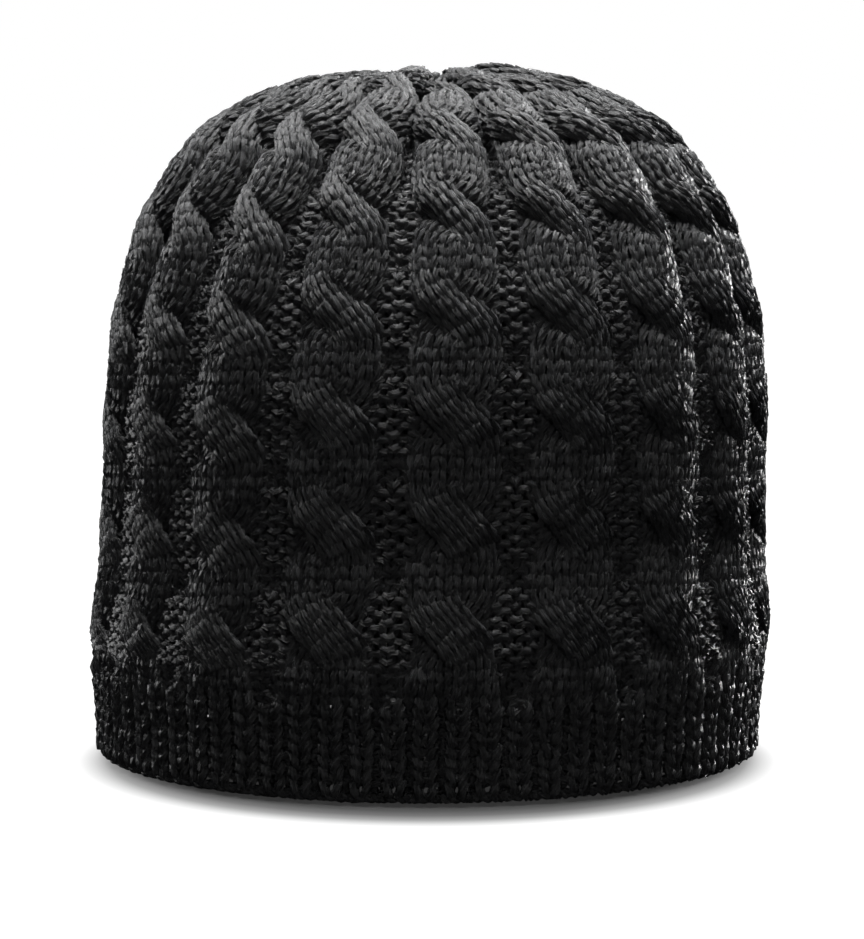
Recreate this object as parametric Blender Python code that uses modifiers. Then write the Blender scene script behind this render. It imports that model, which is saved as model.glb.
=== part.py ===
"""Cable-knit pull-on beanie: ribbed hem, knitted body, eighteen cables, drawn crown, back seam, care label.

Metres, +Z up. The front faces -Y, and the origin is on the floor in the middle of the rim.
"""

import math

import bmesh
import bpy
import numpy as np

# Outer form, measured over the cables
BODY_RADIUS = 0.0870  # half the width above the hem's bulge
DEPTH_RATIO = 1.10  # front-to-back size over width, as a head is longer than it is wide
HEIGHT = 0.179
SHOULDER_Z = 0.078  # the side is upright below this and a dome above it
DOME_ROUNDNESS = 3.1  # superellipse exponents of the dome, in radius and in height
DOME_LIFT = 2.55
BULGE = 0.0019  # the cables spring out where the rib lets go
BULGE_Z = 0.034
BULGE_SPREAD = 0.018
OUTLINE_SAMPLES = 2000

# Fabric
GAP = 0.0003  # clearance between pieces that touch
HEM_HEIGHT = 0.0245
HEM_THICKNESS = 0.0048
HEM_EDGE = 0.0025  # height over which the cast-on edge rounds in
HEM_TUCK = 0.0011
RIBS = 72
RIB_DEPTH = 0.0017
GROUND_INSET = 0.0043  # depth of the purl gutters below the cables' crests
GROUND_THICKNESS = 0.0030
GROUND_SEGMENTS = 54
GROUND_STATIONS = 13
CROWN_HOLE_RADIUS = 0.0050

# Cables
CABLES = 18
FIRST_CABLE_DEG = 3.4
CABLE_WIDTH = 0.0224
CABLE_MAX_HALF_DEG = 8.8  # neighbours close up to this towards the crown
CABLE_SEAT = 0.0004  # clearance over the ground, with room for both pieces' facets
CABLE_EDGE_HEIGHT = 0.0010
CABLE_END_RADIUS = 0.0085
REPEAT = 0.0264  # one crossing to the next, along the fabric
FIRST_CROSSING = 0.0434
STATIONS_PER_REPEAT = 4
CROSSING_PINCH = 0.12
STRAND_HEIGHT = 0.0027
STRAND_LIFT = 0.0012
STRAND_ROUND = 0.0038

# Back seam, drawn crown and label
SEAM_WIDTH = 0.0050
SEAM_THICKNESS = 0.0024
SEAM_BOTTOM = 0.0012
SEAM_STATIONS = 17
SEAM_CLEARANCE = 0.0006
SEAM_END_RADIUS = 0.0120
DRAW_YARN_RADIUS = 0.0010
KNOT_RADIUS = 0.0021
LABEL_WIDTH = 0.030
LABEL_DROP = 0.034
LABEL_THICKNESS = 0.0005
LABEL_TOP_Z = 0.044
THREAD_RADIUS = 0.00035
STITCHES = 9
STITCH_RISE = 0.0009

YARN = (0.011, 0.011, 0.012)
YARN_DEEP = (0.008, 0.008, 0.009)
TAPE = (0.78, 0.77, 0.74)
THREAD = (0.02, 0.02, 0.022)


def clear_scene():
    for obj in list(bpy.data.objects):
        bpy.data.objects.remove(obj, do_unlink=True)


def material(name, colour, roughness):
    mat = bpy.data.materials.new(name)
    mat.use_nodes = True
    shader = mat.node_tree.nodes["Principled BSDF"]
    shader.inputs["Base Color"].default_value = (*colour, 1.0)
    shader.inputs["Roughness"].default_value = roughness
    shader.inputs["Metallic"].default_value = 0.0
    return mat


def outline_point(u):
    """Outermost surface: u runs 0 to 1 from the rim to the shoulder, and 1 to 2 over the dome to the crown."""
    if u <= 1.0:
        z = SHOULDER_Z * u
        return BODY_RADIUS + BULGE * math.exp(-(((z - BULGE_Z) / BULGE_SPREAD) ** 2)), z
    turn = (u - 1.0) * math.pi / 2
    radius = BODY_RADIUS * max(math.cos(turn), 0.0) ** (2 / DOME_ROUNDNESS)
    return radius, SHOULDER_Z + (HEIGHT - SHOULDER_Z) * math.sin(turn) ** (2 / DOME_LIFT)


def outline_table():
    """Length along the outline, radius, height, and the outward normal's radius and height parts."""
    points = np.array([outline_point(u) for u in np.linspace(0.0, 2.0, OUTLINE_SAMPLES)])
    steps = np.hypot(*np.diff(points, axis=0).T)
    length = np.concatenate([[0.0], np.cumsum(steps)])
    even = np.linspace(0.0, length[-1], OUTLINE_SAMPLES)
    radius = np.interp(even, length, points[:, 0])
    height = np.interp(even, length, points[:, 1])
    slope_r = np.gradient(radius, even)
    slope_z = np.gradient(height, even)
    size = np.hypot(slope_r, slope_z)
    return even, radius, height, slope_z / size, -slope_r / size


def ellipse_table():
    """Even angles round the hat, and the ellipse's own angles they stand at."""
    turn = np.linspace(0.0, math.tau, 721)
    step = np.hypot(np.cos(turn), DEPTH_RATIO * np.sin(turn))
    even = np.concatenate([[0.0], np.cumsum(step[1:] + step[:-1])])
    return even * math.tau / even[-1], turn


LENGTH, RADIUS, LEVEL, NORMAL_R, NORMAL_Z = outline_table()
EVEN_TURN, ELLIPSE_TURN = ellipse_table()


def profile(s, inset):
    """Radius and height of the point s along the outline, moved inset into the fabric."""
    radius = np.interp(s, LENGTH, RADIUS) - inset * np.interp(s, LENGTH, NORMAL_R)
    return float(radius), float(np.interp(s, LENGTH, LEVEL) - inset * np.interp(s, LENGTH, NORMAL_Z))


def length_at_radius(radius, inset):
    """Length along the outline where its inset curve narrows to radius, on the dome."""
    curve = RADIUS - inset * NORMAL_R
    dome = LENGTH > SHOULDER_Z
    return float(np.interp(-radius, -curve[dome], LENGTH[dome]))


def on_hat(angle, s, inset):
    """Point at an angle from the front, round to +X, and s along the fabric.

    Equal angles are equal lengths round the rim, although it is an ellipse.
    """
    radius, z = profile(s, inset)
    angle = float(np.interp(angle % math.tau, EVEN_TURN, ELLIPSE_TURN))
    return (radius * math.sin(angle), -DEPTH_RATIO * radius * math.cos(angle), z)


def loft(name, rings, mat, cap):
    """A skin over equal rings of points: capped at both ends, or else closed round from the last to the first."""
    bm = bmesh.new()
    loops = [[bm.verts.new(point) for point in ring] for ring in rings]
    count = len(loops[0])
    pairs = list(zip(loops, loops[1:]))
    if not cap:
        pairs.append((loops[-1], loops[0]))
    for low, high in pairs:
        for i in range(count):
            j = (i + 1) % count
            bm.faces.new((low[i], low[j], high[j], high[i]))
    if cap:
        bm.faces.new(list(reversed(loops[0])))
        bm.faces.new(loops[-1])
    bmesh.ops.recalc_face_normals(bm, faces=bm.faces)
    return add_mesh(name, bm, mat)


def add_mesh(name, bm, mat):
    mesh = bpy.data.meshes.new(name)
    bm.to_mesh(mesh)
    bm.free()
    mesh.shade_smooth()
    mesh.set_sharp_from_angle(angle=math.radians(40))
    mesh.materials.append(mat)
    obj = bpy.data.objects.new(name, mesh)
    PARTS.objects.link(obj)
    return obj


def rib_hem(mat):
    """The ribbed band, with ribs as alternate ridges and valleys and a flat cast-on edge to stand on."""
    points = 2 * RIBS
    top = HEM_HEIGHT - GAP / 2

    def ring(s, inset, depth):
        return [on_hat(math.tau * i / points, s, inset + depth * (i % 2)) for i in range(points)]

    rings = [
        ring(0.0, HEM_TUCK, 0.0),
        ring(HEM_EDGE, 0.0, RIB_DEPTH),
        ring(HEM_HEIGHT / 2, 0.0, RIB_DEPTH),
        ring(top, 0.0, RIB_DEPTH),
        ring(top, HEM_THICKNESS, 0.0),
        ring(HEM_EDGE, HEM_THICKNESS, 0.0),
        ring(0.0, HEM_THICKNESS - HEM_TUCK / 2, 0.0),
    ]
    return loft("rib_hem", [level(r, i in (0, 6), i in (3, 4)) for i, r in enumerate(rings)], mat, cap=False)


def level(ring, on_floor, on_top):
    """The ring, with its height made flat where it bounds the hem's bottom or top face."""
    if on_floor:
        return [(x, y, 0.0) for x, y, z in ring]
    if on_top:
        return [(x, y, HEM_HEIGHT - GAP / 2) for x, y, z in ring]
    return ring


def knit_body(mat):
    """The purl ground of the body, a dome open at the rim and at the drawn crown, turned from its section."""
    start = HEM_HEIGHT + GAP / 2
    end = length_at_radius(CROWN_HOLE_RADIUS, GROUND_INSET)
    stations = np.concatenate(
        [[start], np.linspace(SHOULDER_Z * 0.55, end, GROUND_STATIONS - 1)]
    )
    outer = [profile(s, GROUND_INSET) for s in stations]
    inner = [profile(s, GROUND_INSET + GROUND_THICKNESS) for s in stations]
    outer[0] = (outer[0][0], start)
    inner[0] = (inner[0][0], start)
    section = list(reversed(outer)) + inner
    mesh = bpy.data.meshes.new("knit_body")
    edges = [(i, (i + 1) % len(section)) for i in range(len(section))]
    mesh.from_pydata([(r, 0.0, z) for r, z in section], edges, [])
    mesh.materials.append(mat)
    obj = bpy.data.objects.new("knit_body", mesh)
    PARTS.objects.link(obj)
    obj.scale = (1.0, DEPTH_RATIO, 1.0)
    screw = obj.modifiers.new("Turn", "SCREW")
    screw.axis = "Z"
    screw.angle = math.tau
    screw.steps = GROUND_SEGMENTS
    screw.render_steps = GROUND_SEGMENTS
    screw.use_merge_vertices = True
    screw.merge_threshold = 0.0001
    screw.use_smooth_shade = True
    return obj


def cable_height(x, phase):
    """Height of the cable over the ground at x, -1 to 1 across it; phase is 0.5 on a crossing."""
    heights = []
    for turn in (math.pi * phase, math.pi * (phase + 1)):
        off_centre = x - 0.5 * math.cos(turn)
        heights.append(STRAND_HEIGHT + STRAND_LIFT * math.sin(turn) - STRAND_ROUND * off_centre**2)
    return max(heights)


def cable(number, mat):
    """One cable: two strands that cross right over left, from the hem up to the drawn crown."""
    centre = math.radians(FIRST_CABLE_DEG + (number - 1) * 360.0 / CABLES)
    start = HEM_HEIGHT + 2 * GAP
    end = length_at_radius(CABLE_END_RADIUS, GROUND_INSET)
    count = round((end - start) / REPEAT * STATIONS_PER_REPEAT) + 1
    rings = []
    for s in np.linspace(start, end, count):
        phase = (s - FIRST_CROSSING) / REPEAT + 0.5
        radius = profile(s, 0.0)[0]
        pinch = 1.0 - CROSSING_PINCH * math.sin(math.pi * phase) ** 2
        half = min(CABLE_WIDTH / 2 * pinch / radius, math.radians(CABLE_MAX_HALF_DEG))
        seat = GROUND_INSET - CABLE_SEAT
        ring = [on_hat(centre + half * x, s, seat) for x in (-1.0, -0.35, 0.35, 1.0)]
        ring.append(on_hat(centre + half, s, seat - CABLE_EDGE_HEIGHT))
        for x in (0.55, 0.0, -0.55):
            ring.append(on_hat(centre + half * x, s, seat - cable_height(x, phase)))
        ring.append(on_hat(centre - half, s, seat - CABLE_EDGE_HEIGHT))
        rings.append(ring)
    return loft(f"cable_{number:02d}", rings, mat, cap=True)


def back_seam(mat):
    """The linked seam allowance, a flat ridge up the inside of the back from the hem to the crown."""
    inset = max(HEM_THICKNESS, GROUND_INSET + GROUND_THICKNESS) + SEAM_CLEARANCE
    end = length_at_radius(SEAM_END_RADIUS, inset)
    half = SEAM_WIDTH / 2
    rings = []
    for s in np.linspace(SEAM_BOTTOM, end, SEAM_STATIONS):
        ring = []
        for x, depth in ((-half, 0.0), (half, 0.0), (half * 0.6, SEAM_THICKNESS), (-half * 0.6, SEAM_THICKNESS)):
            radius, z = profile(s, inset + depth)
            ring.append((x, DEPTH_RATIO * radius, z))
        rings.append(ring)
    return loft("back_seam", rings, mat, cap=True)


def crown_draw_yarn(mat):
    """The yarn that draws the last course shut, a ring inside the crown hole."""
    end = length_at_radius(CROWN_HOLE_RADIUS, GROUND_INSET)
    z = profile(end, GROUND_INSET + GROUND_THICKNESS / 2)[1]
    bpy.ops.mesh.primitive_torus_add(
        major_radius=CROWN_HOLE_RADIUS - DRAW_YARN_RADIUS - 2 * GAP,
        minor_radius=DRAW_YARN_RADIUS,
        major_segments=24,
        minor_segments=8,
        location=(0.0, 0.0, z),
    )
    ring = bpy.context.active_object
    adopt(ring, "crown_draw_yarn", mat)
    return z


def crown_knot(mat, z):
    """The knot of the draw yarn, in the middle of its ring."""
    bpy.ops.mesh.primitive_uv_sphere_add(segments=12, ring_count=8, radius=KNOT_RADIUS, location=(0.0, 0.0, z))
    adopt(bpy.context.active_object, "crown_knot", mat)


def adopt(obj, name, mat):
    """Names a primitive, moves it to the parts' collection and gives it its material."""
    obj.name = name
    obj.data.name = name
    for collection in list(obj.users_collection):
        collection.objects.unlink(obj)
    PARTS.objects.link(obj)
    obj.data.materials.append(mat)
    obj.data.shade_smooth()


def label_face_y():
    """Where the label hangs: just inside the seam's ridge at the back."""
    inset = max(HEM_THICKNESS, GROUND_INSET + GROUND_THICKNESS) + SEAM_CLEARANCE + SEAM_THICKNESS
    lowest = min(profile(s, inset)[0] for s in np.linspace(LABEL_TOP_Z - LABEL_DROP, LABEL_TOP_Z, 9))
    return DEPTH_RATIO * lowest - 2 * GAP


def care_label(mat, y):
    """A blank tape label, sewn along its top edge, where its origin and its hinge axis are."""
    bm = bmesh.new()
    bmesh.ops.create_cube(bm, size=1.0)
    bmesh.ops.scale(bm, vec=(LABEL_WIDTH, LABEL_THICKNESS, LABEL_DROP), verts=bm.verts)
    bmesh.ops.translate(bm, vec=(0.0, -LABEL_THICKNESS / 2, -LABEL_DROP / 2), verts=bm.verts)
    label = add_mesh("care_label", bm, mat)
    label.location = (0.0, y, LABEL_TOP_Z)


def label_stitching(mat, y):
    """One running thread along the label's top edge."""
    curve = bpy.data.curves.new("label_stitching", "CURVE")
    curve.dimensions = "3D"
    curve.bevel_depth = THREAD_RADIUS
    curve.bevel_resolution = 2
    curve.use_fill_caps = True
    spline = curve.splines.new("POLY")
    count = 2 * STITCHES + 1
    spline.points.add(count - 1)
    low = LABEL_TOP_Z + LABEL_THICKNESS + GAP + THREAD_RADIUS  # clear of the label's edge as it swings
    for i, point in enumerate(spline.points):
        x = LABEL_WIDTH * (i / (count - 1) - 0.5)
        point.co = (x, y - LABEL_THICKNESS / 2, low + STITCH_RISE * (i % 2), 1.0)
    curve.materials.append(mat)
    PARTS.objects.link(bpy.data.objects.new("label_stitching", curve))


clear_scene()
PARTS = bpy.data.collections.new("cable_knit_beanie")
bpy.context.scene.collection.children.link(PARTS)

cable_yarn = material("cable_yarn", YARN, 0.85)
ground_yarn = material("ground_yarn", YARN_DEEP, 0.9)
label_tape = material("label_tape", TAPE, 0.6)
sewing_thread = material("sewing_thread", THREAD, 0.5)

rib_hem(cable_yarn)
knit_body(ground_yarn)
for number in range(1, CABLES + 1):
    cable(number, cable_yarn)
back_seam(ground_yarn)
draw_z = crown_draw_yarn(sewing_thread)
crown_knot(sewing_thread, draw_z)
label_y = label_face_y()
care_label(label_tape, label_y)
label_stitching(sewing_thread, label_y)
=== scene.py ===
"""Black cable-knit beanie: every stitch is a real loop of plied yarn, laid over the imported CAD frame.

Metres, +Z up. The front faces -Y and the rim's middle is the origin. The fabric is measured by s, the length
along the hat's outline from the rim to the crown, by an angle round from the front towards +X, and by a height
over that outline, which is negative inside it.
"""

import math

import bmesh
import bpy
import numpy as np
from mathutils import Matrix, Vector


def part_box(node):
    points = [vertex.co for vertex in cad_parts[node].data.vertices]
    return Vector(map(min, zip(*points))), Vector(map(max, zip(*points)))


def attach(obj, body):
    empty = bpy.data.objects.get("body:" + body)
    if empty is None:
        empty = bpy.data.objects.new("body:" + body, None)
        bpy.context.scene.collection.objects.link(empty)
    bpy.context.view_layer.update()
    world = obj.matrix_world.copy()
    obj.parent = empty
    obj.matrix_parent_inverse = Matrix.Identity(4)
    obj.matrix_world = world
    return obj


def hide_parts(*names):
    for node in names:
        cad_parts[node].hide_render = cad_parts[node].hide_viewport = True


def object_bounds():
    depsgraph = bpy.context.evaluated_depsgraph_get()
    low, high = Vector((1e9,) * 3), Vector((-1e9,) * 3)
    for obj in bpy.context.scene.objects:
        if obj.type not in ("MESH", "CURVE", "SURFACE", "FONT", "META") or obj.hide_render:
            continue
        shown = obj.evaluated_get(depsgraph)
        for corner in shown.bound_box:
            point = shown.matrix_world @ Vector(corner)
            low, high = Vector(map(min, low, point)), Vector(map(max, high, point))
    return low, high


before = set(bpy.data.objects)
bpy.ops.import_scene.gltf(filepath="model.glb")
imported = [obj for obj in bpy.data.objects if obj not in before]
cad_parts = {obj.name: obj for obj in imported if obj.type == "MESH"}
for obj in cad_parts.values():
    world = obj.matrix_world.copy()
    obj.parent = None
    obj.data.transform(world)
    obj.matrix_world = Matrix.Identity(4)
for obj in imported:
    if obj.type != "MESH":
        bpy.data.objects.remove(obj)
CAD_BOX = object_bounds()

# Outer form over the cables, as in the CAD model
BODY_RADIUS = 0.0870
DEPTH_RATIO = 1.10
HEIGHT = 0.179
SHOULDER_Z = 0.078
DOME_ROUNDNESS = 3.1
DOME_LIFT = 2.55
BULGE = 0.0019
BULGE_Z = 0.034
BULGE_SPREAD = 0.018
OUTLINE_SAMPLES = 2000
TURN_SAMPLES = 721
LEAST_RADIUS = 0.004  # widths of the knitting are not worked out closer to the axis than this
CROWN_LEAN = 0.0021  # how far the upper hat leans to +X
LEAN_Z = 0.12  # height from which it leans that far
CROWN_RIDGES = {0: -0.0024, 17: 0.0022, 1: 0.0018}  # how much some cables stand up or sink at the crown
CROWN_UNEVEN = 0.0009  # spread of the same in the other cables
RIDGE_RADII = (0.012, 0.045)  # radii between which the ridges fade out
CROWN_DIMPLE = 0.0060  # depth and radius of the hollow that the draw yarn pulls
CROWN_DIMPLE_RADIUS = 0.0085

# Knitting plan
CABLES = 18
FIRST_CABLE_DEG = 3.4
REPEAT_DEG = 360.0 / CABLES
HALF_REPEAT = math.radians(REPEAT_DEG / 2)
CABLE_WALES = 6
GUTTER_WALES = 2
REPEAT_WALES = CABLE_WALES + GUTTER_WALES
COURSES_PER_CROSSING = 8
REPEAT = 0.0264  # one crossing to the next along s
COURSE = REPEAT / COURSES_PER_CROSSING
FIRST_CROSSING = 0.0434
CROSSING_UNEVEN = 0.0007  # spread of the crossings' places from cable to cable
HEM_HEIGHT = 0.0245
HEM_COURSES = 7
HEM_COURSE = 0.0031
HEM_FIRST = 0.0046
BODY_FIRST = 0.0257  # s of the body's first course
CABLE_END_RADIUS = 0.0066
GUTTER_END_RADIUS = 0.0200

# Stitches
YARN_RADIUS = 0.00116
HEM_YARN_RADIUS = 0.00132
CROWN_YARN = 0.72  # the yarn's size at the drawn crown
CROWN_YARN_RADII = (0.006, 0.030)  # radii between which it grows to its full size
JOIN_BUNCH = 0.14  # how much thicker the yarn packs where the rib turns into the body, and how far from there
JOIN_SPREAD = 0.0045
LOOP_LEAN = 0.165  # how far a leg leans, in stitches
CROSSING_LEAN = 0.13  # the same where a strand is drawn out over a crossing
LOOP_RISE = 0.86  # half the height of a loop, in courses
CABLE_RISE = 0.96  # the same in the cables, whose loops are packed closer
LOOP_DEPTH = 0.00086  # half the distance from a loop's legs to its head, through the fabric
LEG_FLATNESS = 2.6  # how level a loop's legs lie before they dip to its head
LOOP_SAMPLES = 13
PLIES = 5
SIDES = 2 * PLIES  # each ply's ridge and the groove beside it
PLY_DEPTH = 0.45  # how far the grooves between plies cut into the yarn
PLY_TWIST = 45.0  # turns per metre
TUCK = 0.30  # how far a strip's yarn runs on under its neighbour, in stitches
WANDER_ACROSS = 0.040  # unevenness from stitch to stitch, in stitches, in courses and through the fabric
WANDER_ALONG = 0.055
WANDER_DEPTH = 0.00011

# Cables
CREST = -0.0017  # mid-fabric height of a cable's crest
CABLE_ARC = 0.0120  # half the width of the knitted cable, measured over its arch
SMALL_CABLE = 0.7  # of that width, under which a narrowed cable's crossings flatten
GUTTER_HALF = 0.00435
GUTTER_OPEN = 0.0140  # half a repeat's width where the gutters start to close
GUTTER_SHUT = 0.0084  # and where they have closed
GUTTER_LEAST = 0.08  # of half a repeat
GUTTER_ARC = 0.0046
PURL_ENDS = (1.12, 0.92)  # stitches from a gutter's middle between which its yarn turns from level to purl
SWAP_START = 0.14  # part of a repeat over which the strands change places
SWAP_END = 0.86
TOP_LEAVES = (0.02, 0.47)  # distances from a crossing, in repeats, between which the top strand joins the arch
UNDER_LEAVES = (0.06, 0.20)  # the same over a crossing for the strand that goes under
UNDER_RISES = (0.08, 0.27)  # and below it
STRAND_ARC = 0.0060
STRAND_CHORD = 0.44  # half width of a strand at the crossing, of the cable's half width
STRAND_NARROW = 0.76  # the wales of the stretched strand are this much narrower
TOP_LIFT = 0.0005
UNDER_DROP = 0.0036
PINCH = 0.13  # how much a crossing draws the cable in
TILT = 0.85  # how far the courses turn square to a slanting strand
SIDE_DROOP = 0.0068  # how much lower a course hangs at the sides than at the front and back
LEFT_DROOP = 0.0024
DROOP_BLEND = 0.020  # length over which the droop sets in above the hem
DROOP_FADE = 0.5  # part of the outline's length from where it fades out to the crown

# Hem
HEM_SECTORS = 6
HEM_MIDDLE = -0.0031
RIB_RELIEF = 0.0017
RIB_TURN = 3.0  # how sharply the rib turns between knit and purl
KNIT_SHARE = 0.11  # knit wales widen by this part of a wale on each side, and purl wales narrow
HEM_BLEND = 2.6  # courses over which the rib turns into the body
CAST_ON_SAMPLES = 12  # for each wale
CAST_ON_YARN_RADIUS = 0.00082
CAST_ON_S = 0.0019  # s of the middle between its two yarns
CAST_ON_TWIST = (0.0006, 0.0007)  # how far its two yarns swing up and down, and in and out
CAST_ON_SCALLOP = 0.0002  # how much it rises at the knit wales
CAST_ON_RELIEF = 0.6  # of the rib's

# Crown
DRAW_SAMPLES = 24  # for each cable
KNOT_SAMPLES = 120
DRAW_YARN_RADIUS = 0.00085
DRAW_RADIUS = 0.0050
DRAW_SWING = (0.0009, 0.0008)  # how far the draw yarn swings out and in, and up and down, once per cable
KNOT_YARN_RADIUS = 0.0007
KNOT_SIZE = 0.0021
KNOT_DEPTH = 0.3  # of its size

# Back seam
SELVEDGE_SAMPLES = 360
STITCH_SAMPLES = 20  # for each stitch of the seam and of the label
SEAM_YARN_RADIUS = 0.00085
SEAM_HEIGHT = -0.0090
SEAM_STITCH = 0.0034
SEAM_HEM_GAP = 0.0020  # how far over the CAD seam's lower end it starts
SEAM_END_RADIUS = 0.0135
SELVEDGE_HALF = 0.0009  # half the distance between the two selvedges
SELVEDGE_RIPPLE = 0.0002
WHIP_REACH = (0.0018, 0.0013)  # how far the whip stitch goes sideways and through the fabric
WHIP_SIZE = 0.62  # of the seam's yarn

# Label
LABEL_GRID = (121, 91)  # points down and across
LABEL_HALF = 0.00026  # half the thickness of the doubled tape
LABEL_CURL = 0.0016  # how far its free end comes away from the knit
LABEL_CUP = 0.0007  # how much further the corners come
LABEL_WAIST = 0.012  # how much narrower the tape is halfway down
LABEL_RIB = 0.0008  # from one cross thread to the next
LABEL_RIB_HALF = 0.00004
LABEL_SELVEDGE = 0.00006  # how much thicker its side edges are
LABEL_SELVEDGE_PART = (0.465, 0.49)  # part of the width from the middle over which they thicken
LABEL_FOLD = 0.00005  # step in the inner face where the tape's ends are folded in
LABEL_FOLD_PART = (0.885, 0.875)  # part of the drop over which it falls, from either end
THREAD_RADIUS = 0.00028
THREAD_STITCHES = 10
THREAD_SWING = (0.0004, 0.0002)  # how far the thread swings through the tape, and up and down

# How far from each single yarn the line lies that its normals point away from
CAST_ON_CORE = 0.001
DRAW_CORE = (0.4, 0.001)  # part of its radius, and how far under it
KNOT_CORE = 0.010
SEAM_CORE = 0.004
THREAD_CORE = 0.002

# Dark and light colour and roughness of the plied yarns. The light colour is partly the yarn's own random tone
# and partly painted highlights on its fibres
BLACK_YARN = ((0.0025, 0.0025, 0.0028), (0.020, 0.020, 0.021), 0.46)
SEWING_THREAD = ((0.010, 0.010, 0.011), (0.030, 0.030, 0.032), 0.42)
# colour of the painted shade in the grooves between the plies
PLY_GROOVE_PAINTED_SHADE = (0.0015, 0.0015, 0.0016, 1.0)
SHEEN = (0.80, 0.82, 0.86, 1.0)

RNG = np.random.default_rng(18)


def outline_table():
    """Length along the outline, radius, height, and the outward normal's radius and height parts."""
    u = np.linspace(0.0, 2.0, OUTLINE_SAMPLES)
    side_z = SHOULDER_Z * np.minimum(u, 1.0)
    turn = np.clip(u - 1.0, 0.0, 1.0) * math.pi / 2
    side_radius = BODY_RADIUS + BULGE * np.exp(-(((side_z - BULGE_Z) / BULGE_SPREAD) ** 2))
    dome_radius = BODY_RADIUS * np.maximum(np.cos(turn), 0.0) ** (2 / DOME_ROUNDNESS)
    dome_z = SHOULDER_Z + (HEIGHT - SHOULDER_Z) * np.sin(turn) ** (2 / DOME_LIFT)
    radius = np.where(u <= 1.0, side_radius, dome_radius)
    height = np.where(u <= 1.0, side_z, dome_z)
    length = np.concatenate([[0.0], np.cumsum(np.hypot(np.diff(radius), np.diff(height)))])
    even = np.linspace(0.0, length[-1], OUTLINE_SAMPLES)
    radius = np.interp(even, length, radius)
    height = np.interp(even, length, height)
    slope_r = np.gradient(radius, even)
    slope_z = np.gradient(height, even)
    size = np.hypot(slope_r, slope_z)
    return even, radius, height, slope_z / size, -slope_r / size


def ellipse_table():
    """Even angles round the hat, the ellipse's own angles there, and its mean radius over its half width."""
    turn = np.linspace(0.0, 2 * math.pi, TURN_SAMPLES)
    step = np.hypot(np.cos(turn), DEPTH_RATIO * np.sin(turn))
    even = np.concatenate([[0.0], np.cumsum(step[1:] + step[:-1])])
    return even * 2 * math.pi / even[-1], turn, float(np.mean(step[1:]))


LENGTH, RADIUS, LEVEL, NORMAL_R, NORMAL_Z = outline_table()
EVEN_TURN, ELLIPSE_TURN, MEAN_RADIUS = ellipse_table()


def smooth_step(low, high, value):
    x = np.clip((value - low) / (high - low), 0.0, 1.0)
    return x * x * (3.0 - 2.0 * x)


def radius_at(s):
    return np.interp(s, LENGTH, RADIUS)


def length_at_radius(radius):
    """Length along the outline where the dome narrows to radius."""
    dome = LENGTH > SHOULDER_Z
    return float(np.interp(-radius, -RADIUS[dome], LENGTH[dome]))


def on_hat(angle, s, height):
    """Points at an angle round the hat and s along it, height over the outline.

    The result's last axis is x, y, z. Equal angles are equal lengths round the rim, although it is an ellipse.
    """
    whole = 2 * math.pi * np.floor(angle / (2 * math.pi))
    angle = np.interp(angle - whole, EVEN_TURN, ELLIPSE_TURN) + whole
    radius = radius_at(s) + height * np.interp(s, LENGTH, NORMAL_R)
    z = np.interp(s, LENGTH, LEVEL) + height * np.interp(s, LENGTH, NORMAL_Z)
    z = z - CROWN_DIMPLE * np.exp(-((radius / CROWN_DIMPLE_RADIUS) ** 2))
    x = radius * np.sin(angle) + CROWN_LEAN * smooth_step(0.0, LEAN_Z, z)
    return np.stack([x, -DEPTH_RATIO * radius * np.cos(angle), z], axis=-1)


def drooped(angle, s):
    """The course that would lie level at s, as it hangs: lower at the sides, most of all the left."""
    droop = SIDE_DROOP * np.sin(angle) ** 2 - LEFT_DROOP * np.sin(angle)
    crown = 1.0 - smooth_step(DROOP_FADE * LENGTH[-1], LENGTH[-1], s)
    return s - droop * crown * smooth_step(HEM_HEIGHT, HEM_HEIGHT + DROOP_BLEND, s)


# ------------------------------------------------------------------ strips of fabric

# Half angles of an arch, from a half circle to nearly flat, and how much of its arc its chord is
LEAST_BEND = 0.02
BEND_SAMPLES = 400
BENDS = np.linspace(math.pi / 2, LEAST_BEND, BEND_SAMPLES)
BEND_RATIOS = np.sin(BENDS) / BENDS


def arch(q, half_chord, half_arc):
    """A strip bent to an arch, and to an arch on upright legs where it has to be narrower.

    Returns how far sideways and how far under the crest the point q along the strip lies.
    """
    ratio = half_chord / half_arc
    bend = np.interp(ratio, BEND_RATIOS, BENDS)
    radius = np.where(ratio > 2 / math.pi, half_arc / bend, half_chord)
    turn = np.minimum(np.abs(q) / radius, math.pi / 2)
    leg = np.maximum(np.abs(q) - radius * math.pi / 2, 0.0)
    return np.sign(q) * radius * np.sin(turn), radius * (1.0 - np.cos(turn)) + leg


def repeat_widths(s):
    """Half widths of a repeat and of the cable in it. The gutter beside it has the rest."""
    half = np.maximum(radius_at(s), LEAST_RADIUS) * MEAN_RADIUS * HALF_REPEAT
    gutter = np.maximum(GUTTER_HALF * smooth_step(GUTTER_SHUT, GUTTER_OPEN, half), GUTTER_LEAST * half)
    return half, half - gutter


def crossing_state(s, strand):
    """Where a strand is in its repeat, and whether it is the one on top.

    Returns its sideways place from -1 to 1, that place's slope, how far it is off the cable's common arch from
    0 to 1, and 1 for the top strand or -1 for the other.
    """
    phase = (s - FIRST_CROSSING) / REPEAT + 0.5
    number = np.floor(phase)
    part = np.where(number < 0, 1.0, phase - number)
    on_top = np.where((number + strand) % 2 == 0, 1.0, -1.0)
    swap = smooth_step(SWAP_START, SWAP_END, part)
    place = on_top * (1.0 - 2.0 * swap)
    x = np.clip((part - SWAP_START) / (SWAP_END - SWAP_START), 0.0, 1.0)
    slope = -on_top * 12.0 * x * (1.0 - x) / ((SWAP_END - SWAP_START) * REPEAT)  # of place, along s
    off_top = smooth_step(*TOP_LEAVES, np.abs(part - 0.5))
    above = smooth_step(*UNDER_LEAVES, part - 0.5)
    below = smooth_step(*UNDER_RISES, 0.5 - part)
    off_under = np.where(part > 0.5, above, below)
    lifted = 1.0 - np.where(on_top > 0, off_top, off_under)
    return place, slope, lifted, on_top


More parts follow.
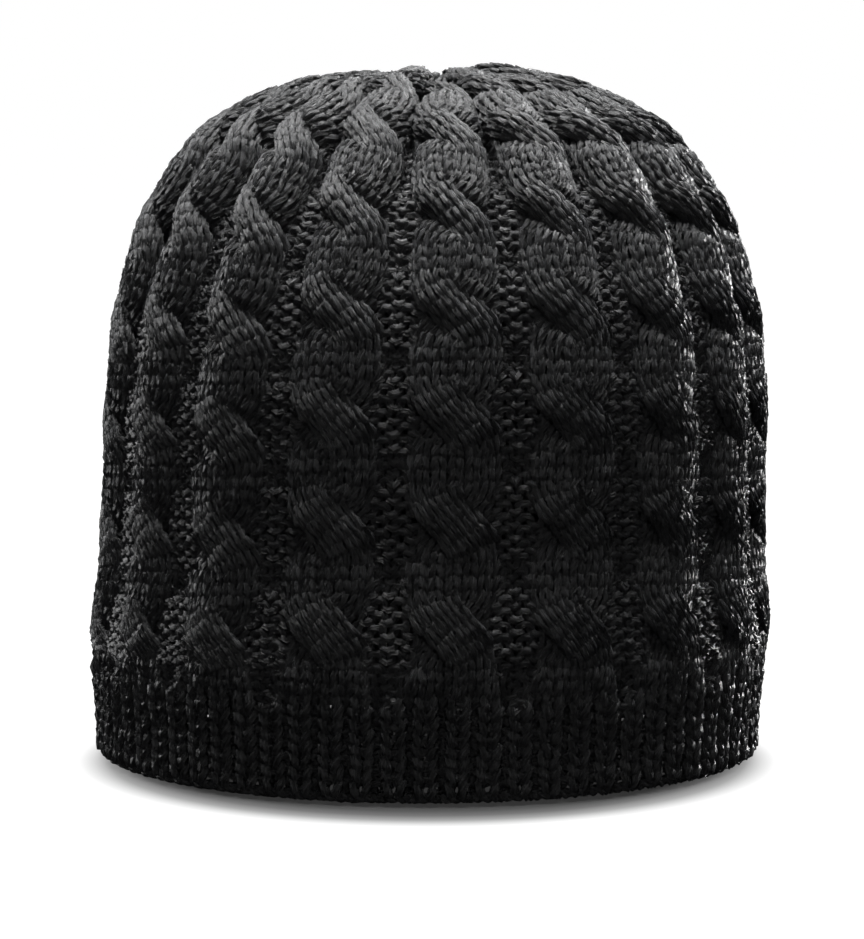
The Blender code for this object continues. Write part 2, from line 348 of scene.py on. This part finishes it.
def crossing_pinch(s):
    """How far the cable is drawn in: 1 at a crossing, 0 halfway between."""
    phase = (s - FIRST_CROSSING) / REPEAT
    return np.where(phase < -0.5, 0.0, 0.5 + 0.5 * np.cos(2 * math.pi * phase))


def hem_offset(wale):
    """Sideways place in wales of a point of the rib, whose knit wales are wide and purl wales narrow."""
    return wale + KNIT_SHARE * np.sin(math.pi * (wale - 0.5))


def hem_point(angle, wale, s):
    """A point of the rib, wale counted from the middle of the cable at angle."""
    height = HEM_MIDDLE + RIB_RELIEF * np.cos(math.pi * (wale - 0.5))
    turn = math.radians(REPEAT_DEG / REPEAT_WALES)
    return on_hat(angle + turn * hem_offset(wale), s, height)


def rib_blend(course):
    """How far a course of the body has turned from rib into cables and gutters, from 0 to 1."""
    return smooth_step(0.0, HEM_BLEND, course + 1.0)[..., None]


def strand_surface(cable, strand, shift, ridge):
    """The mid-surface of one strand of a cable: x in stitches from its middle, y in courses.

    shift moves the cable's crossings up or down, and ridge is its extra height at the crown.
    """
    centre = math.radians(FIRST_CABLE_DEG + REPEAT_DEG * cable)

    def surface(x, y):
        s = BODY_FIRST + COURSE * y
        half, cable_half = repeat_widths(s)
        place, slope, lifted, on_top = crossing_state(s + shift, strand)
        cable_half = cable_half * (1.0 - PINCH * crossing_pinch(s + shift))
        small = np.minimum(cable_half / (SMALL_CABLE * CABLE_ARC), 1.0)
        wale = 2.0 * CABLE_ARC / CABLE_WALES
        strand_half = STRAND_CHORD * cable_half
        tangent = -TILT * slope * (cable_half - strand_half)
        turn = np.arctan(tangent) * small
        q = place * wale * CABLE_WALES / 4 + wale * x * np.cos(turn)
        side, drop = arch(q, cable_half, CABLE_ARC)
        own_side, own_drop = arch(wale * STRAND_NARROW * x, strand_half, STRAND_NARROW * STRAND_ARC)
        along = (wale * x + (own_side - wale * x) * lifted) * np.sin(turn) * small
        level = np.where(on_top > 0, TOP_LIFT, -UNDER_DROP * small)
        own_side = place * (cable_half - strand_half) + own_side * np.cos(turn)
        side = side + (own_side - side) * lifted
        height = CREST - drop + (level - own_drop + drop) * lifted
        height = height + ridge * (1.0 - smooth_step(*RIDGE_RADII, radius_at(s)))
        angle = centre + HALF_REPEAT * side / half
        body = on_hat(angle, drooped(angle, s + along), height)
        hem = hem_point(centre, place * CABLE_WALES / 4 + x, s)
        return hem + (body - hem) * rib_blend(y)

    return surface


def gutter_surface(cable):
    """The mid-surface of the purl gutter after a cable: x in stitches from its middle, y in courses."""
    centre = math.radians(FIRST_CABLE_DEG + REPEAT_DEG * (cable + 0.5))

    def surface(x, y):
        s = BODY_FIRST + COURSE * y
        half, cable_half = repeat_widths(s)
        drop = arch(CABLE_ARC, cable_half, CABLE_ARC)[1]
        gutter_half = half - cable_half * (1.0 - PINCH * crossing_pinch(s))
        arc = np.maximum(GUTTER_ARC, gutter_half)
        side, rise = arch(x * arc / (GUTTER_WALES / 2), gutter_half, arc)
        depth = arch(arc, gutter_half, arc)[1]
        height = CREST - drop - depth + rise
        angle = centre + HALF_REPEAT * side / half
        body = on_hat(angle, drooped(angle, s), height)
        hem = hem_point(centre, x, s)
        return hem + (body - hem) * rib_blend(y)

    return surface


def hem_surface(x, y):
    """The mid-surface of the hem: x in wales from the middle of the first cable, y in courses."""
    return hem_point(math.radians(FIRST_CABLE_DEG), x, HEM_FIRST + HEM_COURSE * y)


# ------------------------------------------------------------------ yarn


def surface_normals(surface, x, y):
    step = 0.04  # of a stitch and of a course
    across = surface(x + step, y) - surface(x - step, y)
    up = surface(x, y + step) - surface(x, y - step)
    normal = np.cross(across, up)
    return normal / np.linalg.norm(normal, axis=-1, keepdims=True)


def wander(courses, wales, samples, amount):
    """Small differences from stitch to stitch, smooth along each course's yarn."""
    knots = RNG.normal(0.0, amount, (courses, wales + 3))
    at = np.linspace(0.5, wales + 1.5, samples)
    left = np.floor(at).astype(int)
    mix = smooth_step(0.0, 1.0, at - left)
    return knots[:, left] * (1.0 - mix) + knots[:, left + 1] * mix


def knit(surface, wales, courses, face, lean=LOOP_LEAN, rise=LOOP_RISE):
    """One looping path of yarn for each course of a strip, with the fabric's normal at each point.

    face(x) is 1 where the fabric shows knit, -1 where it shows purl, and between them where one turns into the
    other. lean and rise are LOOP_LEAN and LOOP_RISE, or what a strip has instead.
    """
    samples = int(round((wales + 2 * TUCK) * LOOP_SAMPLES)) + 1
    loop = 2 * math.pi * np.linspace(-TUCK, wales + TUCK, samples)[None, :]
    rows = np.arange(courses)[:, None]
    x = loop / (2 * math.pi) + lean * np.sin(2 * loop) - wales / 2
    x = x + wander(courses, wales, samples, WANDER_ACROSS)
    y = rows - rise * np.cos(loop) + wander(courses, wales, samples, WANDER_ALONG)
    depth = -LOOP_DEPTH * np.tanh(LEG_FLATNESS * np.cos(2 * loop)) * face(x)
    depth = depth + wander(courses, wales, samples, WANDER_DEPTH)
    normal = surface_normals(surface, x, y)
    return surface(x, y) + depth[..., None] * normal, normal


def yarn_rings(points, normals, size, radius):
    """The plied yarn's cross-sections along rows of paths, and the length along the yarn at each of them.

    The rings' axes are path, sample, side and x, y, z.
    """
    tangent = np.gradient(points, axis=1)
    step = np.linalg.norm(np.diff(points, axis=1), axis=-1)
    along = np.concatenate([np.zeros((len(points), 1)), np.cumsum(step, axis=1)], axis=1)
    tangent = tangent / np.linalg.norm(tangent, axis=-1, keepdims=True)
    out = normals - tangent * np.sum(normals * tangent, axis=-1, keepdims=True)
    out = out / np.linalg.norm(out, axis=-1, keepdims=True)
    aside = np.cross(tangent, out)
    start = RNG.uniform(0.0, 2 * math.pi, (len(points), 1, 1))
    around = 2 * math.pi * np.arange(SIDES) / SIDES
    twist = around[None, None, :] + start + 2 * math.pi * PLY_TWIST * along[..., None]
    ply = np.where(np.arange(SIDES) % 2 == 0, 1.0, 1.0 - PLY_DEPTH)
    spread = (radius * size)[..., None] * ply
    rings = points[:, :, None, :] + spread[..., None] * (
        np.cos(twist)[..., None] * out[:, :, None, :] + np.sin(twist)[..., None] * aside[:, :, None, :]
    )
    return rings, along


def tube_mesh(name, runs, radius):
    """Sweeps plied yarn along runs of paths. A run is points, their normals and the yarn's size along them.

    The UV map holds yarn space: u is the length along the yarn in metres and v goes once round it.
    """
    points_out, faces_out, lengths_out = [], [], []
    base = 0
    for points, normals, size in runs:
        rings, along = yarn_rings(points, normals, size, radius)
        index = base + np.arange(along.size * SIDES).reshape(*along.shape, SIDES)
        turned = np.roll(index, -1, axis=2)
        quads = np.stack([index[:, :-1], turned[:, :-1], turned[:, 1:], index[:, 1:]], axis=-1)
        points_out.append(rings.reshape(-1, 3))
        faces_out.append(quads.reshape(-1, 4))
        lengths_out.append(np.broadcast_to(along[..., None], index.shape).reshape(-1))
        base += index.size
    quads = np.concatenate(faces_out)
    side = (quads % SIDES).astype(float)
    side[:, 1:3] = side[:, :1] + 1.0  # the last side ends at v = 1, not at 0
    side[:, 3] = side[:, 0]
    uv = np.stack([np.concatenate(lengths_out)[quads], side / SIDES], axis=-1)
    return quad_object(name, np.concatenate(points_out), quads, uv)


def quad_object(name, vertices, quads, uv):
    """A smooth object from vertices, quads of their indices, and a UV pair for each corner of each quad."""
    mesh = bpy.data.meshes.new(name)
    mesh.vertices.add(len(vertices))
    mesh.vertices.foreach_set("co", vertices.astype(np.float32).ravel())
    mesh.loops.add(quads.size)
    mesh.loops.foreach_set("vertex_index", quads.astype(np.int32).ravel())
    mesh.polygons.add(len(quads))
    mesh.polygons.foreach_set("loop_start", np.arange(0, quads.size, 4, dtype=np.int32))
    layer = mesh.uv_layers.new(name="yarn")
    layer.data.foreach_set("uv", uv.astype(np.float32).ravel())
    mesh.update(calc_edges=True)
    mesh.shade_smooth()
    obj = bpy.data.objects.new(name, mesh)
    bpy.context.scene.collection.objects.link(obj)
    return obj


def sized(path):
    """Adds the yarn's size to a path: full on the body, thinner at the crown, bunched where the rib ends."""
    points, normals = path
    radius = np.hypot(points[..., 0], points[..., 1] / DEPTH_RATIO)
    size = CROWN_YARN + (1.0 - CROWN_YARN) * smooth_step(*CROWN_YARN_RADII, radius)
    bunched = JOIN_BUNCH * np.exp(-(((points[..., 2] - HEM_HEIGHT) / JOIN_SPREAD) ** 2))
    return points, normals, size * (1.0 + bunched)


def one_path(points, away_from, size=1.0):
    """A run of a single path, whose normals point away from a line of reference points."""
    away = points - away_from
    normals = away / np.linalg.norm(away, axis=-1, keepdims=True)
    return points[None], normals[None], np.full((1, len(points)), size)


# ------------------------------------------------------------------ materials


def shader_of(name):
    mat = bpy.data.materials.new(name)
    mat.use_nodes = True
    tree = mat.node_tree
    return mat, tree, tree.nodes["Principled BSDF"]


def yarn_material(name, dark, light, roughness):
    """Matt acrylic yarn: plies of fine fibres that follow the twist, with patchy dye, painted highlights on
    the fibres, painted shade in the grooves between plies, and a soft sheen.
    """
    mat, tree, shader = shader_of(name)
    nodes, links = tree.nodes, tree.links
    uv = nodes.new("ShaderNodeUVMap")
    uv.uv_map = "yarn"
    fibre_map = nodes.new("ShaderNodeMapping")
    fibre_map.inputs["Scale"].default_value = (330.0, 14.0, 1.0)  # per metre of yarn, and per turn round it
    links.new(uv.outputs["UV"], fibre_map.inputs["Vector"])
    fibres = nodes.new("ShaderNodeTexNoise")
    fibres.inputs["Scale"].default_value = 1.0
    fibres.inputs["Detail"].default_value = 3.0
    fibres.inputs["Roughness"].default_value = 0.65
    links.new(fibre_map.outputs["Vector"], fibres.inputs["Vector"])
    place = nodes.new("ShaderNodeTexCoord")
    dye = nodes.new("ShaderNodeTexNoise")
    dye.inputs["Scale"].default_value = 160.0  # patches a few millimetres across
    dye.inputs["Detail"].default_value = 2.0
    links.new(place.outputs["Object"], dye.inputs["Vector"])
    # Fibre noise times dye noise: the yarn's random tone, and where it runs high also painted highlights on
    # the fibres
    dye_and_fibre_glints = nodes.new("ShaderNodeMath")
    dye_and_fibre_glints.operation = "MULTIPLY"
    links.new(fibres.outputs["Fac"], dye_and_fibre_glints.inputs[0])
    links.new(dye.outputs["Fac"], dye_and_fibre_glints.inputs[1])
    # Painted highlights: where the fibre and dye noise run high, the colour turns to the lighter shade, as
    # glints on the fibres would look.
    ramp = nodes.new("ShaderNodeValToRGB")
    ramp.color_ramp.elements[0].position = 0.20
    ramp.color_ramp.elements[0].color = (*dark, 1.0)
    ramp.color_ramp.elements[1].position = 0.36
    ramp.color_ramp.elements[1].color = (*light, 1.0)
    links.new(dye_and_fibre_glints.outputs["Value"], ramp.inputs["Fac"])
    # Painted shade: a wave round the yarn darkens the colour in the grooves between the plies, one band for
    # each ply.
    plies = nodes.new("ShaderNodeTexWave")
    plies.wave_profile = "SIN"
    plies.bands_direction = "Y"
    plies.inputs["Scale"].default_value = PLIES * math.pi / 10  # one band for each ply
    plies.inputs["Phase Offset"].default_value = math.pi / 2
    links.new(uv.outputs["UV"], plies.inputs["Vector"])
    groove = nodes.new("ShaderNodeMix")
    groove.data_type = "RGBA"
    groove.inputs["A"].default_value = PLY_GROOVE_PAINTED_SHADE
    links.new(plies.outputs["Fac"], groove.inputs["Factor"])
    links.new(ramp.outputs["Color"], groove.inputs["B"])
    links.new(groove.outputs["Result"], shader.inputs["Base Color"])
    bump = nodes.new("ShaderNodeBump")
    bump.inputs["Strength"].default_value = 1.0
    bump.inputs["Distance"].default_value = 0.0014
    links.new(fibres.outputs["Fac"], bump.inputs["Height"])
    links.new(bump.outputs["Normal"], shader.inputs["Normal"])
    shader.inputs["Roughness"].default_value = roughness
    shader.inputs["Specular IOR Level"].default_value = 0.5
    shader.inputs["Sheen Weight"].default_value = 0.10
    shader.inputs["Sheen Roughness"].default_value = 0.45
    shader.inputs["Sheen Tint"].default_value = SHEEN
    return mat


def tape_material():
    """Off-white satin-woven polyester tape: fine crossing threads."""
    mat, tree, shader = shader_of("label_tape")
    nodes, links = tree.nodes, tree.links
    place = nodes.new("ShaderNodeTexCoord")
    weave = []
    for direction in ("X", "Z"):
        wave = nodes.new("ShaderNodeTexWave")
        wave.wave_type = "BANDS"
        wave.bands_direction = direction
        wave.inputs["Scale"].default_value = 700.0  # a thread every 0.45 mm
        wave.inputs["Distortion"].default_value = 0.6
        links.new(place.outputs["Object"], wave.inputs["Vector"])
        weave.append(wave)
    both = nodes.new("ShaderNodeMath")
    both.operation = "MULTIPLY"
    links.new(weave[0].outputs["Fac"], both.inputs[0])
    links.new(weave[1].outputs["Fac"], both.inputs[1])
    ramp = nodes.new("ShaderNodeValToRGB")
    ramp.color_ramp.elements[0].color = (0.50, 0.49, 0.46, 1.0)
    ramp.color_ramp.elements[1].color = (0.80, 0.79, 0.76, 1.0)
    ramp.color_ramp.elements[1].position = 0.6
    links.new(both.outputs["Value"], ramp.inputs["Fac"])
    links.new(ramp.outputs["Color"], shader.inputs["Base Color"])
    bump = nodes.new("ShaderNodeBump")
    bump.inputs["Strength"].default_value = 0.5
    bump.inputs["Distance"].default_value = 0.0001
    links.new(both.outputs["Value"], bump.inputs["Height"])
    links.new(bump.outputs["Normal"], shader.inputs["Normal"])
    shader.inputs["Roughness"].default_value = 0.5
    shader.inputs["Sheen Weight"].default_value = 0.3
    return mat


def finish_piece(obj, material, body="beanie"):
    """Gives a piece its material and slot, and the body that it rides on."""
    obj.data.materials.append(material)
    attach(obj, body)


# ------------------------------------------------------------------ pieces

CABLE_COURSES = int((length_at_radius(CABLE_END_RADIUS) - BODY_FIRST) / COURSE) + 1
GUTTER_COURSES = int((length_at_radius(GUTTER_END_RADIUS) - BODY_FIRST) / COURSE) + 1


def knit_face(x):
    return np.ones_like(x)


def purl_face(x):
    """Purl over the gutter's two wales, ending level with the cables where the yarn tucks under them."""
    return -smooth_step(*PURL_ENDS, np.abs(x))


def rib_face(x):
    """One knit wale, one purl wale, with a short turn between them."""
    return np.clip(RIB_TURN * np.cos(math.pi * (x - 0.5)), -1.0, 1.0)


def make_cable(number, material):
    shift = float(RNG.normal(0.0, CROSSING_UNEVEN))
    ridge = CROWN_RIDGES.get(number, float(RNG.normal(0.0, CROWN_UNEVEN)))
    drawn = crossing_pinch(BODY_FIRST + COURSE * np.arange(CABLE_COURSES)[:, None] + shift)
    lean = LOOP_LEAN + (CROSSING_LEAN - LOOP_LEAN) * drawn
    runs = []
    for strand in (0, 1):
        surface = strand_surface(number, strand, shift, ridge)
        runs.append(sized(knit(surface, CABLE_WALES // 2, CABLE_COURSES, knit_face, lean, CABLE_RISE)))
    cable = tube_mesh(f"cable_knit_{number + 1:02d}", runs, YARN_RADIUS)
    finish_piece(cable, material)
    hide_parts(f"cable_{number + 1:02d}")


def make_gutter(number, material):
    surface = gutter_surface(number)
    path = knit(surface, GUTTER_WALES, GUTTER_COURSES, purl_face)
    gutter = tube_mesh(f"gutter_knit_{number + 1:02d}", [sized(path)], YARN_RADIUS)
    finish_piece(gutter, material)
    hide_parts("knit_body")


def make_hem(material):
    wales = CABLES * REPEAT_WALES // HEM_SECTORS
    for sector in range(HEM_SECTORS):
        middle = wales * (sector + 0.5)

        def surface(x, y, middle=middle):
            return hem_surface(x + middle, y)

        def face(x, middle=middle):
            return rib_face(x + middle)

        path = knit(surface, wales, HEM_COURSES, face)
        hem = tube_mesh(f"hem_knit_{sector + 1}", [sized(path)], HEM_YARN_RADIUS)
        finish_piece(hem, material)
        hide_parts("rib_hem")


def make_cast_on(material):
    """Two yarns twisted round each other under the first course, one twist to a wale."""
    wales = CABLES * REPEAT_WALES
    wale = np.linspace(0.0, wales, wales * CAST_ON_SAMPLES + 1)
    rib = np.cos(math.pi * (wale - 0.5))
    swing_s, swing_height = CAST_ON_TWIST
    angle = math.radians(FIRST_CABLE_DEG) + math.radians(REPEAT_DEG / REPEAT_WALES) * hem_offset(wale)
    runs = []
    for ply in (0.0, math.pi):
        turn = 2 * math.pi * wale + ply
        s = CAST_ON_S + swing_s * np.cos(turn) + CAST_ON_SCALLOP * rib
        height = HEM_MIDDLE + CAST_ON_RELIEF * RIB_RELIEF * rib + swing_height * np.sin(turn)
        runs.append(one_path(on_hat(angle, s, height), on_hat(angle, s, height - CAST_ON_CORE)))
    edge = tube_mesh("cast_on_edge", runs, CAST_ON_YARN_RADIUS)
    finish_piece(edge, material)
    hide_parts("rib_hem")


def single_yarn(name, run, radius, material, node):
    """A piece of one yarn that stands for one CAD node."""
    piece = tube_mesh(name, [run], radius)
    finish_piece(piece, material)
    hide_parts(node)


def make_draw_yarn(material):
    """The yarn that gathers the crown: it dips through the top of every cable on its way round."""
    turn = np.linspace(0.0, 2 * math.pi, CABLES * DRAW_SAMPLES + 1)
    wave = CABLES * turn
    low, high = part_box("crown_draw_yarn")
    radius = DRAW_RADIUS + DRAW_SWING[0] * np.cos(wave)
    z = (low.z + high.z) / 2 + DRAW_SWING[1] * np.sin(wave)
    points = np.stack([radius * np.sin(turn) + CROWN_LEAN, -radius * np.cos(turn), z], axis=-1)
    hub = points * np.array([DRAW_CORE[0], DRAW_CORE[0], 1.0]) - np.array([0.0, 0.0, DRAW_CORE[1]])
    run = one_path(points, hub)
    single_yarn("draw_yarn_loop", run, DRAW_YARN_RADIUS, material, "crown_draw_yarn")


def make_knot(material):
    """A small overhand knot in the draw yarn: a trefoil."""
    turn = np.linspace(0.0, 2 * math.pi, KNOT_SAMPLES)
    x = KNOT_SIZE * (np.sin(turn) + 2 * np.sin(2 * turn)) / 3
    y = KNOT_SIZE * (np.cos(turn) - 2 * np.cos(2 * turn)) / 3
    z = KNOT_DEPTH * KNOT_SIZE * -np.sin(3 * turn)
    low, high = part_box("crown_knot")
    middle = (low + high) / 2
    points = np.stack([x + middle.x + CROWN_LEAN, y + middle.y, z + middle.z], axis=-1)
    under = np.array([middle.x + CROWN_LEAN, middle.y, middle.z - KNOT_CORE])
    run = one_path(points, under)
    single_yarn("crown_knot_yarn", run, KNOT_YARN_RADIUS, material, "crown_knot")


def seam_point(aside, s, height):
    """A point near the back seam: aside in metres across it."""
    place = on_hat(np.full_like(s, math.pi), s, height)
    return place + np.stack([aside, np.zeros_like(s), np.zeros_like(s)], axis=-1)


def make_back_seam(material):
    """The inside ridge of the back seam: two rolled selvedges bound by a whip stitch."""
    low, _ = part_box("back_seam")
    first = float(low.z) + SEAM_HEM_GAP
    last = length_at_radius(SEAM_END_RADIUS)
    turns = int((last - first) / SEAM_STITCH)
    runs = []
    s = np.linspace(first, last, SELVEDGE_SAMPLES)
    inward = seam_point(np.zeros_like(s), s, np.full_like(s, SEAM_HEIGHT + SEAM_CORE))
    for side in (-1.0, 1.0):
        ripple = SELVEDGE_RIPPLE * np.sin(2 * math.pi * (s - first) / SEAM_STITCH + side)
        points = seam_point(side * SELVEDGE_HALF + ripple, s, np.full_like(s, SEAM_HEIGHT))
        runs.append(one_path(points, inward))
    turn = np.linspace(0.0, 2 * math.pi * turns, turns * STITCH_SAMPLES + 1)
    s = first + (last - first) * turn / turn[-1]
    aside, through = WHIP_REACH
    points = seam_point(aside * np.cos(turn), s, SEAM_HEIGHT - through * np.sin(turn))
    core = seam_point(np.zeros_like(s), s, np.full_like(s, SEAM_HEIGHT))
    runs.append(one_path(points, core, WHIP_SIZE))
    seam = tube_mesh("back_seam_whip", runs, SEAM_YARN_RADIUS)
    finish_piece(seam, material)
    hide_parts("back_seam")


def label_faces(rows, columns):
    """Quads over the label's two faces, whose points follow each other, and round its rim."""
    index = np.arange(rows * columns).reshape(rows, columns)
    quads = np.stack([index[:-1, :-1], index[:-1, 1:], index[1:, 1:], index[1:, :-1]], axis=-1).reshape(-1, 4)
    inner = rows * columns
    faces = [tuple(q[::-1]) for q in quads.tolist()]
    faces += [tuple(v + inner for v in q) for q in quads.tolist()]
    rim = np.concatenate([index[0, :-1], index[:-1, -1], index[-1, :0:-1], index[:0:-1, 0]]).tolist()
    faces += [(here, there, there + inner, here + inner) for here, there in zip(rim, rim[1:] + rim[:1])]
    return faces


def make_label(material):
    """A woven tape folded double at its ends, curling a little away from the knit."""
    low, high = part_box("care_label")
    width, drop = high.x - low.x, high.z - low.z
    rows, columns = LABEL_GRID
    across = np.linspace(-0.5, 0.5, columns)[None, :] + np.zeros((rows, 1))
    down = np.linspace(0.0, 1.0, rows)[:, None] + np.zeros((1, columns))
    curl = LABEL_CURL * down**2 + LABEL_CUP * (2 * across) ** 2 * down
    rib = LABEL_RIB_HALF * np.sin(2 * math.pi * down * drop / LABEL_RIB)
    selvedge = LABEL_SELVEDGE * smooth_step(*LABEL_SELVEDGE_PART, np.abs(across))
    fold = LABEL_FOLD * (smooth_step(*LABEL_FOLD_PART, 1.0 - down) + smooth_step(*LABEL_FOLD_PART, down))
    half = LABEL_HALF + rib + selvedge
    x = across * width * (1.0 - LABEL_WAIST * np.sin(math.pi * down))
    z = high.z - down * drop
    middle = (low.y + high.y) / 2 - curl
    outer = np.stack([x, middle + half, z], axis=-1).reshape(-1, 3)
    inner = np.stack([x, middle - half - fold, z], axis=-1).reshape(-1, 3)
    mesh = bpy.data.meshes.new("care_label_tape")
    mesh.from_pydata(np.concatenate([outer, inner]).tolist(), [], label_faces(rows, columns))
    mesh.update()
    mesh.shade_smooth()
    label = bpy.data.objects.new("care_label_tape", mesh)
    bpy.context.scene.collection.objects.link(label)
    finish_piece(label, material, "label")
    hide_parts("care_label")


def make_label_thread(material):
    """A lockstitch along the label's top edge."""
    low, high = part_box("label_stitching")
    turn = np.linspace(0.0, 2 * math.pi * THREAD_STITCHES, THREAD_STITCHES * STITCH_SAMPLES + 1)
    x = low.x + THREAD_RADIUS + (high.x - low.x - 2 * THREAD_RADIUS) * turn / turn[-1]
    middle = (low + high) / 2
    y = middle.y - THREAD_SWING[0] * np.cos(turn)
    z = middle.z + THREAD_SWING[1] * np.sin(turn)
    points = np.stack([x, y, z], axis=-1)
    core = points * np.array([1.0, 0.0, 1.0]) + np.array([0.0, middle.y + THREAD_CORE, 0.0])
    run = one_path(points, core)
    single_yarn("label_thread", run, THREAD_RADIUS, material, "label_stitching")


# ------------------------------------------------------------------ camera, light and floor

FLOOR_SIZE = 20.0
# the paper's own colour is nearly black, so its whiteness comes from its emission and its shadow is painted
FLOOR_SHADE = 0.06
FLOOR_PAINTED_SHADOW_REACH = (0.092, 0.113)  # half axes of the ellipse of painted shadow round the hat, outside which the paper glows pure white
FLOOR_PAINTED_SHADOW_MIDDLE = -0.012  # the painted shadow's middle is nearer to the front than the hat's
FLOOR_GLOW_AND_PAINTED_SHADOW = {0.78: 0.03, 0.84: 0.10, 0.90: 0.30, 0.95: 0.68, 1.0: 1.0}  # emission by distance, in half axes: turned down inside the ellipse as a painted shadow
VIEW_DISTANCE = 1.35  # in front of the hat's middle
VIEW_HEIGHT = 0.205
VIEW_LENS = 198.0
VIEW_SHIFT = (0.0050, -0.0614)
LAMP_TARGET = (0.0, 0.0, 0.09)
LAMPS = {  # place, size and watts
    "top_softbox": ((0.0, 0.05, 1.35), (0.9, 0.9), 53.0),
    "back_softbox": ((0.0, 0.9, 1.1), (1.2, 0.5), 9.0),
    "left_strip": ((-0.95, 0.68, 0.30), (0.25, 1.0), 11.0),
    "right_strip": ((0.93, 1.02, 0.30), (0.25, 1.0), 48.0),
    "front_fill": ((0.0, -1.6, 0.30), (1.5, 0.8), 6.5),
}


def add_camera():
    camera = bpy.data.cameras.new("camera")
    camera.lens = VIEW_LENS
    camera.shift_x, camera.shift_y = VIEW_SHIFT
    camera.clip_end = FLOOR_SIZE
    obj = bpy.data.objects.new("camera", camera)
    obj.location = (0.0, -VIEW_DISTANCE, VIEW_HEIGHT)
    low, high = CAD_BOX
    target = (low + high) / 2
    obj.rotation_euler = (target - obj.location).to_track_quat("-Z", "Y").to_euler()
    bpy.context.scene.collection.objects.link(obj)
    bpy.context.scene.camera = obj


def add_lamps():
    for name, (place, size, power) in LAMPS.items():
        light = bpy.data.lights.new(name, "AREA")
        light.shape = "RECTANGLE"
        light.size, light.size_y = size
        light.energy = power
        obj = bpy.data.objects.new(name, light)
        obj.location = place
        obj.rotation_euler = (Vector(LAMP_TARGET) - obj.location).to_track_quat("-Z", "Y").to_euler()
        bpy.context.scene.collection.objects.link(obj)


def add_floor():
    """A large flat table whose white paper glows, but for a painted soft shadow round the rim and under the
    hat, where its emission is turned down.
    """
    mesh = bpy.data.meshes.new("floor")
    bm = bmesh.new()
    bmesh.ops.create_grid(bm, x_segments=2, y_segments=2, size=FLOOR_SIZE)
    bm.to_mesh(mesh)
    bm.free()
    floor = bpy.data.objects.new("floor", mesh)
    bpy.context.scene.collection.objects.link(floor)
    mat, tree, shader = shader_of("table_paper_painted_shadow")
    shader.inputs["Base Color"].default_value = (FLOOR_SHADE, FLOOR_SHADE, FLOOR_SHADE, 1.0)
    shader.inputs["Roughness"].default_value = 1.0
    shader.inputs["Specular IOR Level"].default_value = 0.0
    shader.inputs["Emission Color"].default_value = (1.0, 1.0, 1.0, 1.0)
    place = tree.nodes.new("ShaderNodeTexCoord")
    painted_shadow_reach = tree.nodes.new("ShaderNodeMapping")
    painted_shadow_reach.inputs["Location"].default_value = (0.0, -FLOOR_PAINTED_SHADOW_MIDDLE / FLOOR_PAINTED_SHADOW_REACH[1], 0.0)
    painted_shadow_reach.inputs["Scale"].default_value = (1.0 / FLOOR_PAINTED_SHADOW_REACH[0], 1.0 / FLOOR_PAINTED_SHADOW_REACH[1], 1.0)
    tree.links.new(place.outputs["Object"], painted_shadow_reach.inputs["Vector"])
    distance = tree.nodes.new("ShaderNodeVectorMath")
    distance.operation = "LENGTH"
    tree.links.new(painted_shadow_reach.outputs["Vector"], distance.inputs[0])
    # Painted shadow: the paper's emission falls off inside the ellipse round the hat
    glow_and_painted_shadow = tree.nodes.new("ShaderNodeValToRGB")
    for _ in range(len(FLOOR_GLOW_AND_PAINTED_SHADOW) - 2):
        glow_and_painted_shadow.color_ramp.elements.new(0.5)
    for element, (at, level) in zip(glow_and_painted_shadow.color_ramp.elements, FLOOR_GLOW_AND_PAINTED_SHADOW.items()):
        element.position = at
        element.color = (level, level, level, 1.0)
    tree.links.new(distance.outputs["Value"], glow_and_painted_shadow.inputs["Fac"])
    tree.links.new(glow_and_painted_shadow.outputs["Color"], shader.inputs["Emission Strength"])
    floor.data.materials.append(mat)
    floor.visible_diffuse = False
    floor.visible_glossy = False


def add_studio_walls():
    """White surroundings that are seen but cast no light, so that the lamps alone model the dark knit."""
    world = bpy.data.worlds.new("studio")
    bpy.context.scene.world = world
    world.use_nodes = True
    background = world.node_tree.nodes["Background"]
    background.inputs["Color"].default_value = (1.0, 1.0, 1.0, 1.0)
    background.inputs["Strength"].default_value = 1.0
    world.cycles_visibility.diffuse = False
    world.cycles_visibility.glossy = False


def main():
    yarn = yarn_material("black_yarn", *BLACK_YARN)
    for number in range(CABLES):
        make_cable(number, yarn)
        make_gutter(number, yarn)
    make_hem(yarn)
    make_cast_on(yarn)
    make_draw_yarn(yarn)
    make_knot(yarn)
    make_back_seam(yarn)
    make_label(tape_material())
    make_label_thread(yarn_material("sewing_thread", *SEWING_THREAD))
    add_floor()
    add_lamps()
    add_studio_walls()
    add_camera()
    bpy.context.scene.view_settings.view_transform = "Standard"


main()
